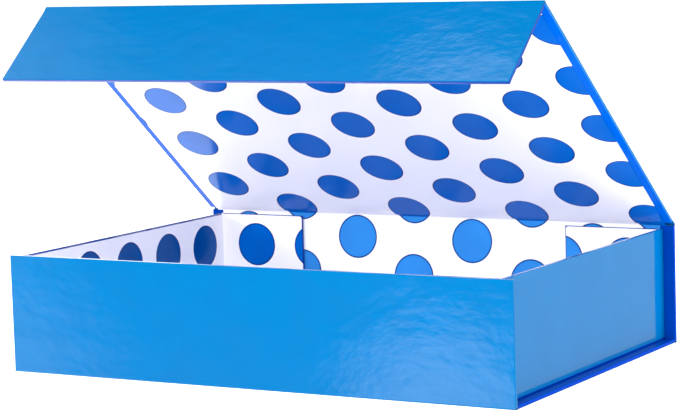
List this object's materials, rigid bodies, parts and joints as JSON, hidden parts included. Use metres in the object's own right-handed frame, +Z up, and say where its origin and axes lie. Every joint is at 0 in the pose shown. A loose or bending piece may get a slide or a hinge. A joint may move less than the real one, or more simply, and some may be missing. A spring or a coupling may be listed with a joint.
{
  "type": "collapsible rigid storage box",
  "caption": "Paper-wrapped rigid storage box with a book-style hinged lid, a magnetic front flap and a dotted liner, built to fold flat.",
  "frame": {"origin": "middle of the base on the surface the box stands on", "axes": "+X to the box's right seen from the front, +Y towards the back with the lid hinge, +Z up; the front faces -Y"},
  "size_m": [0.28, 0.19, 0.1816],
  "materials": {
    "outer_wrap": "gloss laminate",
    "liner": "white with printed blue dots, satin",
    "greyboard": "raw recycled board, matt",
    "adhesive": "double-sided tape with its release paper",
    "magnet": "nickel-plated disc",
    "keeper_steel": "zinc-plated disc"
  },
  "bodies": {
    "base": {"base_board": "greyboard", "base_wrap": "outer_wrap", "base_liner": "liner", "base_front_crease": "outer_wrap", "base_back_crease": "outer_wrap"},
    "front_panel": {"front_panel_board": "greyboard", "front_panel_wrap": "outer_wrap", "front_panel_liner": "liner", "left_keeper_disc": "keeper_steel", "right_keeper_disc": "keeper_steel"},
    "back": {"back_board": "greyboard", "back_wrap": "outer_wrap", "back_liner": "liner", "back_lid_crease": "outer_wrap"},
    "lid": {"lid_board": "greyboard", "lid_wrap": "outer_wrap", "lid_liner": "liner", "lid_flap_crease": "outer_wrap"},
    "front_flap": {"front_flap_board": "greyboard", "front_flap_wrap": "outer_wrap", "front_flap_liner": "liner", "left_magnet": "magnet", "right_magnet": "magnet"},
    "left_wall": {"left_wall_board": "greyboard", "left_wall_wrap": "outer_wrap", "left_wall_liner": "liner", "left_wall_crease": "outer_wrap"},
    "right_wall": {"right_wall_board": "greyboard", "right_wall_wrap": "outer_wrap", "right_wall_liner": "liner", "right_wall_crease": "outer_wrap"},
    "left_rear_flap": {"left_rear_flap_card": "greyboard", "left_rear_flap_cover": "outer_wrap", "left_rear_flap_liner": "liner", "left_rear_flap_tape": "adhesive", "left_rear_flap_crease": "outer_wrap"},
    "left_front_flap": {"left_front_flap_card": "greyboard", "left_front_flap_cover": "outer_wrap", "left_front_flap_liner": "liner", "left_front_flap_tape": "adhesive", "left_front_flap_crease": "outer_wrap"},
    "right_rear_flap": {"right_rear_flap_card": "greyboard", "right_rear_flap_cover": "outer_wrap", "right_rear_flap_liner": "liner", "right_rear_flap_tape": "adhesive", "right_rear_flap_crease": "outer_wrap"},
    "right_front_flap": {"right_front_flap_card": "greyboard", "right_front_flap_cover": "outer_wrap", "right_front_flap_liner": "liner", "right_front_flap_tape": "adhesive", "right_front_flap_crease": "outer_wrap"}
  },
  "joints": [
    {"name": "back_fold", "type": "hinge", "parent": "base", "child": "back", "pos_m": [0, 0.0947, 0.0003], "axis": [-1, 0, 0], "range_deg": [0, 90]},
    {"name": "front_panel_fold", "type": "hinge", "parent": "base", "child": "front_panel", "pos_m": [0, -0.0947, 0.0003], "axis": [1, 0, 0], "range_deg": [0, 90]},
    {"name": "left_wall_fold", "type": "hinge", "parent": "base", "child": "left_wall", "pos_m": [-0.1342, 0, 0.00245], "axis": [0, -1, 0], "range_deg": [0, 90]},
    {"name": "right_wall_fold", "type": "hinge", "parent": "base", "child": "right_wall", "pos_m": [0.1342, 0, 0.00245], "axis": [0, 1, 0], "range_deg": [0, 90]},
    {"name": "left_rear_flap_fold", "type": "hinge", "parent": "left_wall", "child": "left_rear_flap", "pos_m": [-0.13185, 0.09075, 0.03097], "axis": [0, 0, -1], "range_deg": [0, 90]},
    {"name": "left_front_flap_fold", "type": "hinge", "parent": "left_wall", "child": "left_front_flap", "pos_m": [-0.13185, -0.09075, 0.03097], "axis": [0, 0, 1], "range_deg": [0, 90]},
    {"name": "right_rear_flap_fold", "type": "hinge", "parent": "right_wall", "child": "right_rear_flap", "pos_m": [0.13185, 0.09075, 0.03097], "axis": [0, 0, 1], "range_deg": [0, 90]},
    {"name": "right_front_flap_fold", "type": "hinge", "parent": "right_wall", "child": "right_front_flap", "pos_m": [0.13185, -0.09075, 0.03097], "axis": [0, 0, -1], "range_deg": [0, 90]},
    {"name": "lid_hinge", "type": "hinge", "parent": "back", "child": "lid", "pos_m": [0, 0.0947, 0.06125], "axis": [1, 0, 0], "range_deg": [-141.3, 38.7]},
    {"name": "flap_hinge", "type": "hinge", "parent": "lid", "child": "front_flap", "pos_m": [0, -0.05518, 0.18133], "axis": [1, 0, 0], "range_deg": [-79.6, 10.4]}
  ],
  "couplings": [
    {"joint": "front_panel_fold", "follows": "back_fold", "ratio": 1},
    {"joint": "left_wall_fold", "follows": "back_fold", "ratio": 1},
    {"joint": "right_wall_fold", "follows": "back_fold", "ratio": 1},
    {"joint": "left_rear_flap_fold", "follows": "back_fold", "ratio": 1},
    {"joint": "left_front_flap_fold", "follows": "back_fold", "ratio": 1},
    {"joint": "right_rear_flap_fold", "follows": "back_fold", "ratio": 1},
    {"joint": "right_front_flap_fold", "follows": "back_fold", "ratio": 1}
  ]
}
